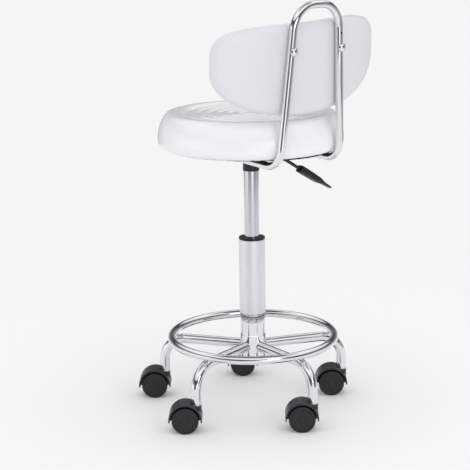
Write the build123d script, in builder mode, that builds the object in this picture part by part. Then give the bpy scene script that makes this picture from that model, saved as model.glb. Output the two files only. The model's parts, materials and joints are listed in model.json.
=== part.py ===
from build123d import *

import os
from math import cos, radians, sin, sqrt, tan

os.makedirs("parts", exist_ok=True)

# Rolling stylist stool. The origin is on the floor under the column, +Z is up, the sitter faces -Y
# and the backrest is on the +Y side. The seat stands at the top of the gas lift's stroke.

# Floor unit: five bent tube legs, a hub, a foot ring and the outer column
LEG_COUNT = 5
FIRST_LEG_ANGLE = 87.6
LEG_RADIUS = 9.5
LEG_WALL = 1.5
LEG_Z = 119.5
LEG_BEND_RADIUS = 46
LEG_FOOT_Z = 52
STEM_CIRCLE_RADIUS = 183
WELD = 0.4
HUB_BOTTOM_Z = 96
HUB_TOP_Z = 183.5
HUB_STEP_Z = 141
HUB_RIM_Z = 174
HUB_RADIUS = 23.9
HUB_FOOT_RADIUS = 24.6
HUB_RIM_RADIUS = 24.8
RING_RADIUS = 156.3
RING_TUBE_RADIUS = 8
RING_WALL = 1.5
RING_Z = LEG_Z + LEG_RADIUS + RING_TUBE_RADIUS - WELD
COLUMN_RADIUS = 25
COLUMN_WALL = 1.6
COLUMN_TOP_Z = 329
COLUMN_SHOULDER_Z = HUB_TOP_Z + 0.8
COLUMN_FOOT_Z = 92
COLUMN_FLOOR = 4
TAPER_TOP_RADIUS = 21.6
TAPER_FOOT_RADIUS = 20.6
BUSH_FOOT_Z = 192
BUSH_FLANGE = 4

# Gas lift
STROKE = 120
CYLINDER_RADIUS = 14
CYLINDER_WALL = 1.8
CYLINDER_FOOT_Z = 250
CYLINDER_TOP_Z = 484
CYLINDER_CAP = 8
CHAMBER_TOP_Z = 455
SOCKET_FOOT_Z = 461
SOCKET_WALL = 1.5
CONE_TOP_RADIUS = 13.2
ROD_RADIUS = 5
ROD_FOOT_Z = 84
PISTON_Z = 262
PISTON_LENGTH = 10
PISTON_BORE_RADIUS = 4
VALVE_RADIUS = 3
VALVE_FOOT_Z = 468
VALVE_TOP_Z = 490
RUNNING = 0.05

# Seat
SEAT_RADIUS = 174.5
SEAT_BOTTOM_Z = 508
SEAT_TOP_Z = 579
BOARD_RADIUS = 158
BOARD_THICKNESS = 12
DUST_COVER_RADIUS = 150
PLATE_TOP_Z = 507
PLATE_THICKNESS = 2.5
PLATE_WIDTH = 104
PLATE_DEPTH = 150
PLATE_HOLE_X = 38
PLATE_HOLE_Y = 60
CHANNEL_HALF_WIDTH = 18.5
CHANNEL_BACK_X = 34
CHANNEL_FRONT_X = -44

# Height lever
LEVER_PIVOT_X = -36
LEVER_Z = 493.5
LEVER_BEND_X = -47
LEVER_SLOPE = 31.3
LEVER_ROD_RADIUS = 3.2
LEVER_REACH = 200
HANDLE_LENGTH = 94
LEVER_PIN_RADIUS = 2.5

# Back frame: one tube bent like a hairpin, with flattened feet under the seat
FRAME_TUBE_RADIUS = 7
FRAME_WALL = 1.5
FRAME_FOOT_X = 71
FRAME_FOOT_Z = 499.5
FRAME_HEEL_Y = 168.7
FRAME_HEEL_Z = 494.5
FRAME_HEEL_RADIUS = 36
LEAN_BASE_Z = 496
FRAME_LEAN = 4.3
FRAME_HEIGHT = 287
FRAME_CROWN_X = 50
FRAME_CROWN_RADIUS = 45.5
FOOT_FLAT = 6
FOOT_ROUND_Y = 64
FOOT_FLAT_Y = 47
FOOT_END_Y = 8
FOOT_HOLES_Y = (38, 16)

# Backrest: three curved layers on the leaning back frame
BACK_CURVE = 400
PANEL_THICKNESS = 4
BACK_BOARD_THICKNESS = 8
BACK_THICKNESS = 31
BACK_BOTTOM = 90
BACK_WIDEST = 176
BACK_TOP = 254
BACK_HALF_WIDTH = 191
BACK_TILT = 1.5
BACK_TOP_SQUARENESS = 4.4
BACK_BOTTOM_SQUARENESS = 2.2
OUTLINE_ANGLES = (-60, -30, -10, 0.2, 4, 15, 40, 66, 84)
PANEL_INSET = 9
BACK_BOARD_INSET = 20
BOLT_HEIGHT = 207.5
FRAME_GAP = 1

# Fasteners
SCREW_RADIUS = 3
SCREW_HEAD_RADIUS = 5.5
SCREW_HEAD = 4
NUT_BARREL_RADIUS = 4.2
NUT_FLANGE_RADIUS = 9
NUT_FLANGE = 1.2

# Casters: twin wheels under an arched hood, all trailing the same way
WHEEL_RADIUS = 25
TRAIL = 20
TRAIL_ANGLE = -39
HOOD_RADIUS = 31
HOOD_WALL = 2.6
HOOD_HALF_WIDTH = 21
WEB_HALF_WIDTH = 6.8
WHEEL_INNER = 7.3
WHEEL_OUTER = 22.3
BOSS_RADIUS = 10
BOSS_TOP_Z = 49.2
STEM_RADIUS = 5.5
STEM_FOOT_Z = 31
STEM_TOP_Z = 70
AXLE_RADIUS = 3
AXLE_HALF_LENGTH = 19.6
SOCKET_LIP_RADIUS = 9.9
SOCKET_LIP = 2.2


def upright_plane(angle, x=0, y=0):
    """A standing plane: its x runs out level at this angle and its y runs up."""
    turn = radians(angle)
    return Plane(origin=(x, y, 0), x_dir=(cos(turn), sin(turn), 0), z_dir=(sin(turn), -cos(turn), 0))


def leg_angle(index):
    return FIRST_LEG_ANGLE + index * 360 / LEG_COUNT


def stem_place(index):
    turn = radians(leg_angle(index))
    return STEM_CIRCLE_RADIUS * cos(turn), STEM_CIRCLE_RADIUS * sin(turn)


def dome(radius, foot, top):
    """Half of a spherical cap's outline, from its rim to the axis."""
    sphere = (radius**2 + (top - foot) ** 2) / (2 * (top - foot))
    middle = top - sphere + sqrt(sphere**2 - (radius / 2) ** 2)
    return ThreePointArc((radius, foot), (radius / 2, middle), (0, top))


def keep(part, name):
    """Label a finished piece and write it under its own name."""
    part.label = name
    export_step(part, f"parts/{name}.step")


# ---------------------------------------------------------------- floor unit


def make_hub():
    with BuildPart() as hub:
        with BuildSketch(Plane.XZ):
            with BuildLine():
                Polyline(
                    (TAPER_FOOT_RADIUS, HUB_BOTTOM_Z),
                    (HUB_FOOT_RADIUS, HUB_BOTTOM_Z),
                    (HUB_FOOT_RADIUS, HUB_STEP_Z),
                    (HUB_RADIUS, HUB_STEP_Z + 1),
                    (HUB_RADIUS, HUB_RIM_Z - 1),
                    (HUB_RIM_RADIUS, HUB_RIM_Z),
                    (HUB_RIM_RADIUS, HUB_TOP_Z),
                    (TAPER_TOP_RADIUS, HUB_TOP_Z),
                    close=True,
                )
            make_face()
        revolve(axis=Axis.Z)
        rims = hub.edges().filter_by(GeomType.CIRCLE).filter_by(lambda e: e.radius > HUB_RADIUS)
        fillet(rims.group_by(Axis.Z)[-1] + rims.group_by(Axis.Z)[0], radius=1)
    keep(hub.part, "hub")


def make_leg(index):
    side = upright_plane(leg_angle(index))
    with BuildPart() as leg:
        with BuildLine(side) as route:
            FilletPolyline(
                (HUB_RADIUS - 8, LEG_Z),
                (STEM_CIRCLE_RADIUS, LEG_Z),
                (STEM_CIRCLE_RADIUS, LEG_FOOT_Z),
                radius=LEG_BEND_RADIUS,
            )
        with BuildSketch(Plane(origin=route.line @ 0, z_dir=route.line % 0)):
            Circle(LEG_RADIUS)
            Circle(LEG_RADIUS - LEG_WALL, mode=Mode.SUBTRACT)
        sweep()
        with BuildSketch(Plane.XY.offset(HUB_BOTTOM_Z)):
            Circle(HUB_FOOT_RADIUS - WELD)
        extrude(amount=LEG_Z, mode=Mode.SUBTRACT)
    keep(leg.part, f"leg_{index + 1}")


def make_foot_ring():
    with BuildPart() as foot_ring:
        with BuildSketch(Plane.XZ):
            with Locations((RING_RADIUS, RING_Z)):
                Circle(RING_TUBE_RADIUS)
                Circle(RING_TUBE_RADIUS - RING_WALL, mode=Mode.SUBTRACT)
        revolve(axis=Axis.Z)
        # one vent under the tube, as every closed plated ring has
        vent = upright_plane(leg_angle(0) + 180 / LEG_COUNT)
        with Locations(vent.from_local_coords((RING_RADIUS, RING_Z - RING_TUBE_RADIUS, 0))):
            Cylinder(1.5, 2 * RING_WALL + 1)
    keep(foot_ring.part, "foot_ring")


def make_caster_sockets():
    with BuildPart() as caster_sockets:
        with BuildSketch(Plane.XY.offset(LEG_FOOT_Z)):
            with PolarLocations(STEM_CIRCLE_RADIUS, LEG_COUNT, start_angle=FIRST_LEG_ANGLE):
                Circle(LEG_RADIUS - LEG_WALL - 0.02)
        extrude(amount=STEM_TOP_Z + 2 - LEG_FOOT_Z)
        with BuildSketch(Plane.XY.offset(LEG_FOOT_Z)):
            with PolarLocations(STEM_CIRCLE_RADIUS, LEG_COUNT, start_angle=FIRST_LEG_ANGLE):
                Circle(SOCKET_LIP_RADIUS)
        extrude(amount=-SOCKET_LIP)
        lips = caster_sockets.edges().filter_by(GeomType.CIRCLE)
        fillet(lips.filter_by(lambda e: e.radius > LEG_RADIUS), radius=0.7)
        with BuildSketch(Plane.XY.offset(LEG_FOOT_Z - SOCKET_LIP)):
            with PolarLocations(STEM_CIRCLE_RADIUS, LEG_COUNT, start_angle=FIRST_LEG_ANGLE):
                Circle(STEM_RADIUS + RUNNING)
        extrude(amount=STEM_TOP_Z, mode=Mode.SUBTRACT)
    keep(caster_sockets.part, "caster_sockets")


def make_column_tube():
    bore = COLUMN_RADIUS - COLUMN_WALL
    with BuildPart() as column_tube:
        with BuildSketch(Plane.XZ):
            with BuildLine():
                Polyline(
                    (ROD_RADIUS + RUNNING, COLUMN_FOOT_Z),
                    (TAPER_FOOT_RADIUS, COLUMN_FOOT_Z),
                    (TAPER_FOOT_RADIUS, HUB_BOTTOM_Z),
                    (TAPER_TOP_RADIUS, HUB_TOP_Z),
                    (TAPER_TOP_RADIUS, COLUMN_SHOULDER_Z),
                    (COLUMN_RADIUS, COLUMN_SHOULDER_Z),
                    (COLUMN_RADIUS, COLUMN_TOP_Z),
                    (bore, COLUMN_TOP_Z),
                    (bore, BUSH_FOOT_Z),
                    (TAPER_FOOT_RADIUS - COLUMN_WALL, BUSH_FOOT_Z - 4),
                    (TAPER_FOOT_RADIUS - COLUMN_WALL, COLUMN_FOOT_Z + COLUMN_FLOOR),
                    (ROD_RADIUS + RUNNING, COLUMN_FOOT_Z + COLUMN_FLOOR),
                    close=True,
                )
            make_face()
        revolve(axis=Axis.Z)
        rims = column_tube.edges().filter_by(GeomType.CIRCLE)
        fillet(rims.filter_by(lambda e: abs(e.radius - COLUMN_RADIUS) < 0.01), radius=1.2)
    keep(column_tube.part, "column_tube")


def make_guide_bush():
    bore = CYLINDER_RADIUS + RUNNING
    top = COLUMN_TOP_Z + BUSH_FLANGE
    with BuildPart() as guide_bush:
        with BuildSketch(Plane.XY.offset(BUSH_FOOT_Z)):
            Circle(COLUMN_RADIUS - COLUMN_WALL)
        extrude(amount=COLUMN_TOP_Z - BUSH_FOOT_Z)
        with BuildSketch(Plane.XY.offset(COLUMN_TOP_Z)):
            Circle(COLUMN_RADIUS)
        extrude(amount=BUSH_FLANGE)
        fillet(guide_bush.edges().filter_by(GeomType.CIRCLE).sort_by(Axis.Z)[-1], radius=1.4)
        with BuildSketch(Plane.XY.offset(BUSH_FOOT_Z)):
            Circle(bore)
        extrude(amount=top - BUSH_FOOT_Z, mode=Mode.SUBTRACT)
        chamfer(guide_bush.edges().filter_by(GeomType.CIRCLE).sort_by(Axis.Z)[-1], length=1)
        # two wrench slots across the flange
        with BuildSketch(Plane.XY.offset(top)):
            with PolarLocations(COLUMN_RADIUS - 5.5, 2, start_angle=TRAIL_ANGLE):
                SlotOverall(6, 2.4)
        extrude(amount=-1.2, mode=Mode.SUBTRACT)
    keep(guide_bush.part, "guide_bush")


BEARING_Z = COLUMN_FOOT_Z + COLUMN_FLOOR
RACE = 2
BALL_RADIUS = 1.5
BALL_CIRCLE = 9
BALL_COUNT = 12
RACE_RADIUS = 12
UPPER_RACE_Z = BEARING_Z + RACE + 2 * BALL_RADIUS + 0.1


def make_thrust_bearing():
    with BuildPart() as thrust_bearing:
        with BuildSketch(Plane.XY.offset(BEARING_Z)):
            Circle(RACE_RADIUS)
            Circle(ROD_RADIUS + 0.5, mode=Mode.SUBTRACT)
        extrude(amount=RACE)
        middle = BEARING_Z + RACE + BALL_RADIUS
        with BuildSketch(Plane.XY.offset(middle - 0.6)):
            Circle(RACE_RADIUS)
            Circle(ROD_RADIUS + 0.5, mode=Mode.SUBTRACT)
            with PolarLocations(BALL_CIRCLE, BALL_COUNT):
                Circle(BALL_RADIUS + 0.1, mode=Mode.SUBTRACT)
        extrude(amount=1.2)
        with Locations((0, 0, middle)):
            with PolarLocations(BALL_CIRCLE, BALL_COUNT):
                Sphere(BALL_RADIUS - 0.01)
    keep(thrust_bearing.part, "thrust_bearing")


def make_thrust_race():
    with BuildPart() as thrust_race:
        with BuildSketch(Plane.XY.offset(UPPER_RACE_Z)):
            Circle(RACE_RADIUS)
            Circle(ROD_RADIUS, mode=Mode.SUBTRACT)
        extrude(amount=RACE)
        chamfer(thrust_race.edges().sort_by(Axis.Z)[-1], length=0.4)
    keep(thrust_race.part, "thrust_race")


def make_bump_stop():
    foot = UPPER_RACE_Z + RACE
    with BuildPart() as bump_stop:
        with BuildSketch(Plane.XY.offset(foot)):
            Circle(ROD_RADIUS + 5)
        extrude(amount=10)
        fillet(bump_stop.edges().group_by(Axis.Z)[-1], radius=2)
        with BuildSketch(Plane.XY.offset(foot)):
            Circle(ROD_RADIUS)
        extrude(amount=10, mode=Mode.SUBTRACT)
    keep(bump_stop.part, "bump_stop")


CLIP_Z = COLUMN_FOOT_Z - 2
CLIP = 1.5
GROOVE_RADIUS = 4.2


def make_retaining_clip():
    with BuildPart() as retaining_clip:
        with BuildSketch(Plane.XY.offset(CLIP_Z)):
            Circle(ROD_RADIUS + 4)
            Circle(GROOVE_RADIUS, mode=Mode.SUBTRACT)
            with Locations((ROD_RADIUS + 1, 0)):
                Rectangle(2 * ROD_RADIUS, 2 * GROOVE_RADIUS - 2, mode=Mode.SUBTRACT)
        extrude(amount=CLIP)
    keep(retaining_clip.part, "retaining_clip")


# ---------------------------------------------------------------- gas lift


def make_piston_rod():
    with BuildPart() as piston_rod:
        with BuildSketch(Plane.XY.offset(ROD_FOOT_Z)):
            Circle(ROD_RADIUS)
        extrude(amount=PISTON_Z - ROD_FOOT_Z)
        with BuildSketch(Plane.XY.offset(PISTON_Z)):
            Circle(PISTON_BORE_RADIUS)
        extrude(amount=PISTON_LENGTH)
        with BuildSketch(Plane.XY.offset(CLIP_Z)):
            Circle(ROD_RADIUS)
            Circle(GROOVE_RADIUS, mode=Mode.SUBTRACT)
        extrude(amount=CLIP, mode=Mode.SUBTRACT)
        chamfer(piston_rod.edges().sort_by(Axis.Z)[0], length=1)
    keep(piston_rod.part, "piston_rod")


def make_piston():
    outside = CYLINDER_RADIUS - CYLINDER_WALL - RUNNING
    with BuildPart() as piston:
        with BuildSketch(Plane.XY.offset(PISTON_Z)):
            Circle(outside)
            Circle(PISTON_BORE_RADIUS, mode=Mode.SUBTRACT)
        extrude(amount=PISTON_LENGTH)
        # seal groove
        with BuildSketch(Plane.XY.offset(PISTON_Z + PISTON_LENGTH / 2 - 1)):
            Circle(outside)
            Circle(outside - 1.5, mode=Mode.SUBTRACT)
        extrude(amount=2, mode=Mode.SUBTRACT)
    keep(piston.part, "piston")


def make_gas_cylinder():
    chamber = CYLINDER_RADIUS - CYLINDER_WALL
    with BuildPart() as gas_cylinder:
        with BuildSketch(Plane.XZ):
            with BuildLine():
                Polyline(
                    (ROD_RADIUS + RUNNING, CYLINDER_FOOT_Z),
                    (CYLINDER_RADIUS - 1.5, CYLINDER_FOOT_Z),
                    (CYLINDER_RADIUS, CYLINDER_FOOT_Z + 1.5),
                    (CYLINDER_RADIUS, SOCKET_FOOT_Z),
                    (CONE_TOP_RADIUS, CYLINDER_TOP_Z),
                    (VALVE_RADIUS + RUNNING, CYLINDER_TOP_Z),
                    (VALVE_RADIUS + RUNNING, CHAMBER_TOP_Z),
                    (chamber, CHAMBER_TOP_Z),
                    (chamber, CYLINDER_FOOT_Z + CYLINDER_CAP),
                    (ROD_RADIUS + RUNNING, CYLINDER_FOOT_Z + CYLINDER_CAP),
                    close=True,
                )
            make_face()
        revolve(axis=Axis.Z)
    keep(gas_cylinder.part, "gas_cylinder")


def make_valve_pin():
    with BuildPart() as valve_pin:
        with BuildSketch(Plane.XY.offset(VALVE_FOOT_Z)):
            Circle(VALVE_RADIUS)
        extrude(amount=VALVE_TOP_Z - VALVE_FOOT_Z)
        fillet(valve_pin.edges().sort_by(Axis.Z)[-1], radius=0.8)
    keep(valve_pin.part, "valve_pin")


# ---------------------------------------------------------------- under the seat

PLATE_HOLES = [(x, y) for x in (-PLATE_HOLE_X, PLATE_HOLE_X) for y in (-PLATE_HOLE_Y, PLATE_HOLE_Y)]
FOOT_HOLES = [(x, y) for x in (-FRAME_FOOT_X, FRAME_FOOT_X) for y in FOOT_HOLES_Y]
UNDER_PLATE_Z = PLATE_TOP_Z - PLATE_THICKNESS


def make_mechanism_plate():
    length = CHANNEL_BACK_X - CHANNEL_FRONT_X
    middle = (CHANNEL_BACK_X + CHANNEL_FRONT_X) / 2
    with BuildPart() as mechanism_plate:
        with BuildSketch(Plane.XY.offset(UNDER_PLATE_Z)):
            RectangleRounded(PLATE_WIDTH, PLATE_DEPTH, 14)
            with Locations(*PLATE_HOLES):
                Circle(SCREW_RADIUS + 0.3, mode=Mode.SUBTRACT)
        extrude(amount=PLATE_THICKNESS)
        # channel that carries the lever, open towards the handle
        with BuildSketch(Plane.XY.offset(CYLINDER_TOP_Z)):
            with Locations((middle, 0)):
                Rectangle(length, 2 * CHANNEL_HALF_WIDTH)
        extrude(amount=UNDER_PLATE_Z - CYLINDER_TOP_Z)
        with BuildSketch(Plane.XY.offset(CYLINDER_TOP_Z + PLATE_THICKNESS)):
            with Locations((middle - PLATE_THICKNESS, 0)):
                Rectangle(length, 2 * (CHANNEL_HALF_WIDTH - PLATE_THICKNESS))
        extrude(amount=UNDER_PLATE_Z - CYLINDER_TOP_Z - PLATE_THICKNESS, mode=Mode.SUBTRACT)
        # tapered socket for the gas cylinder
        with BuildSketch(Plane.XZ):
            with BuildLine():
                Polyline(
                    (0, SOCKET_FOOT_Z),
                    (CYLINDER_RADIUS + SOCKET_WALL, SOCKET_FOOT_Z),
                    (CYLINDER_RADIUS + SOCKET_WALL, SOCKET_FOOT_Z + 15),
                    (CHANNEL_HALF_WIDTH - 0.5, CYLINDER_TOP_Z),
                    (0, CYLINDER_TOP_Z),
                    close=True,
                )
            make_face()
        revolve(axis=Axis.Z)
        with BuildSketch(Plane.XZ):
            with BuildLine():
                Polyline(
                    (0, SOCKET_FOOT_Z),
                    (CYLINDER_RADIUS, SOCKET_FOOT_Z),
                    (CONE_TOP_RADIUS, CYLINDER_TOP_Z),
                    (CONE_TOP_RADIUS, CYLINDER_TOP_Z + PLATE_THICKNESS),
                    (0, CYLINDER_TOP_Z + PLATE_THICKNESS),
                    close=True,
                )
            make_face()
        revolve(axis=Axis.Z, mode=Mode.SUBTRACT)
        with BuildSketch(Plane.XZ.offset(-CHANNEL_HALF_WIDTH)):
            with Locations((LEVER_PIVOT_X, LEVER_Z)):
                Circle(LEVER_PIN_RADIUS)
        extrude(amount=2 * CHANNEL_HALF_WIDTH, mode=Mode.SUBTRACT)
    keep(mechanism_plate.part, "mechanism_plate")


def make_lever_pin():
    half = CHANNEL_HALF_WIDTH + 2.5
    with BuildPart() as lever_pin:
        with BuildSketch(Plane.XZ.offset(-half)):
            with Locations((LEVER_PIVOT_X, LEVER_Z)):
                Circle(LEVER_PIN_RADIUS)
        extrude(amount=2 * half)
        for end, outwards in ((-half, -1), (CHANNEL_HALF_WIDTH, 1)):
            with BuildSketch(Plane.XZ.offset(end)):
                with Locations((LEVER_PIVOT_X, LEVER_Z)):
                    Circle(LEVER_PIN_RADIUS + 1.8)
            extrude(amount=half - CHANNEL_HALF_WIDTH)
    keep(lever_pin.part, "lever_pin")


def lever_point(reach):
    """The lever's centre line this far out from the column axis, past its bend."""
    return -reach, LEVER_Z - (reach + LEVER_BEND_X) * tan(radians(LEVER_SLOPE))


HANDLE_START = LEVER_REACH - HANDLE_LENGTH * cos(radians(LEVER_SLOPE))


def make_lever_rod():
    with BuildPart() as lever_rod:
        with BuildLine(Plane.XZ) as route:
            FilletPolyline(
                (LEVER_ROD_RADIUS, LEVER_Z),
                (LEVER_BEND_X, LEVER_Z),
                lever_point(HANDLE_START + 45),
                radius=10,
            )
        with BuildSketch(Plane(origin=route.line @ 0, z_dir=route.line % 0)):
            Circle(LEVER_ROD_RADIUS)
        sweep()
        # pivot eye
        with BuildSketch(Plane.XZ.offset(-7)):
            with Locations((LEVER_PIVOT_X, LEVER_Z)):
                Circle(LEVER_PIN_RADIUS + 2.5)
        extrude(amount=14)
        with BuildSketch(Plane.XZ.offset(-7)):
            with Locations((LEVER_PIVOT_X, LEVER_Z)):
                Circle(LEVER_PIN_RADIUS + RUNNING)
        extrude(amount=14, mode=Mode.SUBTRACT)
    keep(lever_rod.part, "lever_rod")


def make_lever_handle():
    x, z = lever_point(HANDLE_START)
    slope = radians(LEVER_SLOPE)
    along = Plane(origin=(x, 0, z), x_dir=(0, 1, 0), z_dir=(-cos(slope), 0, -sin(slope)))
    # how far along, width, thickness and corner radius of each cross-section
    sections = [
        (0, 12, 11, 4.5),
        (14, 13.5, 11.5, 5),
        (42, 17, 11, 4.8),
        (58, 19.5, 6.5, 3),
        (80, 21, 5, 2.3),
        (HANDLE_LENGTH, 17, 3.6, 1.7),
    ]
    with BuildPart() as lever_handle:
        for distance, width, thickness, corner in sections:
            with BuildSketch(along.offset(distance)):
                RectangleRounded(width, thickness, corner)
        loft()
        fillet(lever_handle.faces().sort_by(Axis.X)[-1].edges(), radius=1.5)
        fillet(lever_handle.faces().sort_by(Axis.X)[0].edges(), radius=1.2)
        with BuildSketch(along):
            Circle(LEVER_ROD_RADIUS)
        extrude(amount=45 / cos(slope), mode=Mode.SUBTRACT)
    keep(lever_handle.part, "lever_handle")


# ---------------------------------------------------------------- seat


def make_seat_board():
    with BuildPart() as seat_board:
        with BuildSketch(Plane.XY.offset(SEAT_BOTTOM_Z)):
            Circle(BOARD_RADIUS)
            with Locations(*PLATE_HOLES, *FOOT_HOLES):
                Circle(NUT_BARREL_RADIUS, mode=Mode.SUBTRACT)
        extrude(amount=BOARD_THICKNESS)
        with BuildSketch(Plane.XY.offset(SEAT_BOTTOM_Z + BOARD_THICKNESS)):
            with Locations(*PLATE_HOLES, *FOOT_HOLES):
                Circle(NUT_FLANGE_RADIUS)
        extrude(amount=-NUT_FLANGE, mode=Mode.SUBTRACT)
    keep(seat_board.part, "seat_board")


def make_seat_cushion():
    with BuildPart() as seat_cushion:
        with BuildSketch(Plane.XZ):
            with BuildLine():
                Line((0, SEAT_BOTTOM_Z), (SEAT_RADIUS - 12, SEAT_BOTTOM_Z))
                Spline(
                    (SEAT_RADIUS - 12, SEAT_BOTTOM_Z),
                    (SEAT_RADIUS - 4, SEAT_BOTTOM_Z + 6),
                    (SEAT_RADIUS, SEAT_BOTTOM_Z + 18),
                    (SEAT_RADIUS - 3.5, SEAT_BOTTOM_Z + 42),
                    (SEAT_RADIUS - 18, SEAT_TOP_Z - 8),
                )
                dome(SEAT_RADIUS - 18, SEAT_TOP_Z - 8, SEAT_TOP_Z)
                Line((0, SEAT_TOP_Z), (0, SEAT_BOTTOM_Z))
            make_face()
        revolve(axis=Axis.Z)
        with BuildSketch(Plane.XY.offset(SEAT_BOTTOM_Z)):
            Circle(BOARD_RADIUS)
        extrude(amount=BOARD_THICKNESS, mode=Mode.SUBTRACT)
    keep(seat_cushion.part, "seat_cushion")


def make_dust_cover():
    with BuildPart() as dust_cover:
        with BuildSketch(Plane.XY.offset(PLATE_TOP_Z)):
            Circle(DUST_COVER_RADIUS)
            with Locations(*PLATE_HOLES, *FOOT_HOLES):
                Circle(SCREW_RADIUS + 1, mode=Mode.SUBTRACT)
        extrude(amount=SEAT_BOTTOM_Z - PLATE_TOP_Z)
    keep(dust_cover.part, "dust_cover")


def make_seat_tee_nuts():
    top = SEAT_BOTTOM_Z + BOARD_THICKNESS
    with BuildPart() as seat_tee_nuts:
        with BuildSketch(Plane.XY.offset(top)):
            with Locations(*PLATE_HOLES, *FOOT_HOLES):
                Circle(NUT_FLANGE_RADIUS)
        extrude(amount=-NUT_FLANGE)
        with BuildSketch(Plane.XY.offset(top)):
            with Locations(*PLATE_HOLES, *FOOT_HOLES):
                Circle(NUT_BARREL_RADIUS)
        extrude(amount=1 - BOARD_THICKNESS)
        with BuildSketch(Plane.XY.offset(top)):
            with Locations(*PLATE_HOLES, *FOOT_HOLES):
                Circle(SCREW_RADIUS + RUNNING)
        extrude(amount=-BOARD_THICKNESS, mode=Mode.SUBTRACT)
    keep(seat_tee_nuts.part, "seat_tee_nuts")


def make_hex_screws(name, places, seat_z):
    """Hex screws driven up into the tee nuts, with their heads under the plane at seat_z."""
    with BuildPart() as screws:
        with BuildSketch(Plane.XY.offset(seat_z)):
            with Locations(*places):
                RegularPolygon(SCREW_HEAD_RADIUS, 6)
        extrude(amount=-SCREW_HEAD)
        chamfer(screws.faces().group_by(Axis.Z)[0].edges(), length=0.5)
        with BuildSketch(Plane.XY.offset(seat_z)):
            with Locations(*places):
                Circle(SCREW_RADIUS)
        extrude(amount=SEAT_BOTTOM_Z + BOARD_THICKNESS - 2 - seat_z)
    keep(screws.part, name)


# ---------------------------------------------------------------- back frame

LEAN = radians(FRAME_LEAN)
LEAN_UP = (0, sin(LEAN), cos(LEAN))
LEAN_BACK = (0, cos(LEAN), -sin(LEAN))
LEAN_ORIGIN = (0, FRAME_HEEL_Y, LEAN_BASE_Z)
BACK_PLANE = Plane(origin=LEAN_ORIGIN, x_dir=(1, 0, 0), z_dir=(0, -cos(LEAN), sin(LEAN)))
ACROSS_PLANE = Plane(origin=LEAN_ORIGIN, x_dir=(1, 0, 0), z_dir=LEAN_UP)


def leaning(x, up, back=0):
    """A point of the leaning back: sideways, up the lean and backwards from the frame tube."""
    return (
        x,
        FRAME_HEEL_Y + up * LEAN_UP[1] + back * LEAN_BACK[1],
        LEAN_BASE_Z + up * LEAN_UP[2] + back * LEAN_BACK[2],
    )


def frame_leg_x(up):
    """How far out the frame tube runs at this height up the lean."""
    return FRAME_FOOT_X + (FRAME_CROWN_X - FRAME_FOOT_X) * up / FRAME_HEIGHT


BOLT_X = frame_leg_x(BOLT_HEIGHT)


def make_back_frame():
    with BuildPart() as back_frame:
        with BuildLine() as route:
            FilletPolyline(
                (-FRAME_FOOT_X, FOOT_ROUND_Y, FRAME_FOOT_Z),
                (-FRAME_FOOT_X, FRAME_HEEL_Y, FRAME_HEEL_Z),
                leaning(-FRAME_CROWN_X, FRAME_HEIGHT),
                leaning(FRAME_CROWN_X, FRAME_HEIGHT),
                (FRAME_FOOT_X, FRAME_HEEL_Y, FRAME_HEEL_Z),
                (FRAME_FOOT_X, FOOT_ROUND_Y, FRAME_FOOT_Z),
                radius=[FRAME_HEEL_RADIUS, FRAME_CROWN_RADIUS, FRAME_CROWN_RADIUS, FRAME_HEEL_RADIUS],
            )
        with BuildSketch(Plane(origin=route.line @ 0, z_dir=route.line % 0)):
            Circle(FRAME_TUBE_RADIUS)
            Circle(FRAME_TUBE_RADIUS - FRAME_WALL, mode=Mode.SUBTRACT)
        sweep()
        # each end is pressed flat against the seat
        flat_z = PLATE_TOP_Z - FOOT_FLAT / 2
        for x, end, outwards in ((-FRAME_FOOT_X, 0, -1), (FRAME_FOOT_X, 1, 1)):
            with BuildSketch(Plane(origin=route.line @ end, x_dir=(1, 0, 0), z_dir=outwards * (route.line % end))):
                Circle(FRAME_TUBE_RADIUS)
            with BuildSketch(Plane(origin=(x, FOOT_FLAT_Y, flat_z), x_dir=(1, 0, 0), z_dir=(0, -1, 0))):
                RectangleRounded(20, FOOT_FLAT, FOOT_FLAT / 2 - 0.1)
            loft()
            with BuildSketch(Plane.XY.offset(PLATE_TOP_Z)):
                with Locations((x, (FOOT_FLAT_Y + FOOT_END_Y) / 2)):
                    Rectangle(19.8, FOOT_FLAT_Y - FOOT_END_Y)
            extrude(amount=-FOOT_FLAT)
        ends = back_frame.edges().filter_by(Axis.Z).group_by(Axis.Y)[0]
        fillet(ends, radius=8)
        with BuildSketch(Plane.XY.offset(PLATE_TOP_Z)):
            with Locations(*FOOT_HOLES):
                Circle(SCREW_RADIUS + 0.3)
        extrude(amount=-2 * FOOT_FLAT, mode=Mode.SUBTRACT)
        # bolt holes through both legs, and a spare hole on one of them
        with BuildSketch(BACK_PLANE.offset(-2 * FRAME_TUBE_RADIUS)):
            with Locations((-BOLT_X, BOLT_HEIGHT), (BOLT_X, BOLT_HEIGHT)):
                Circle(SCREW_RADIUS + 0.2)
        extrude(amount=4 * FRAME_TUBE_RADIUS, mode=Mode.SUBTRACT)
        with BuildSketch(BACK_PLANE.offset(-2 * FRAME_TUBE_RADIUS)):
            with Locations((-frame_leg_x(BOLT_HEIGHT + 26), BOLT_HEIGHT + 26)):
                Circle(2)
        extrude(amount=2 * FRAME_TUBE_RADIUS, mode=Mode.SUBTRACT)
    keep(back_frame.part, "back_frame")


# ---------------------------------------------------------------- backrest

FRAME_SAGITTA = BACK_CURVE - sqrt(BACK_CURVE**2 - BOLT_X**2)
CURVE_CENTRE = FRAME_SAGITTA - FRAME_TUBE_RADIUS - FRAME_GAP - BACK_CURVE


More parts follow.
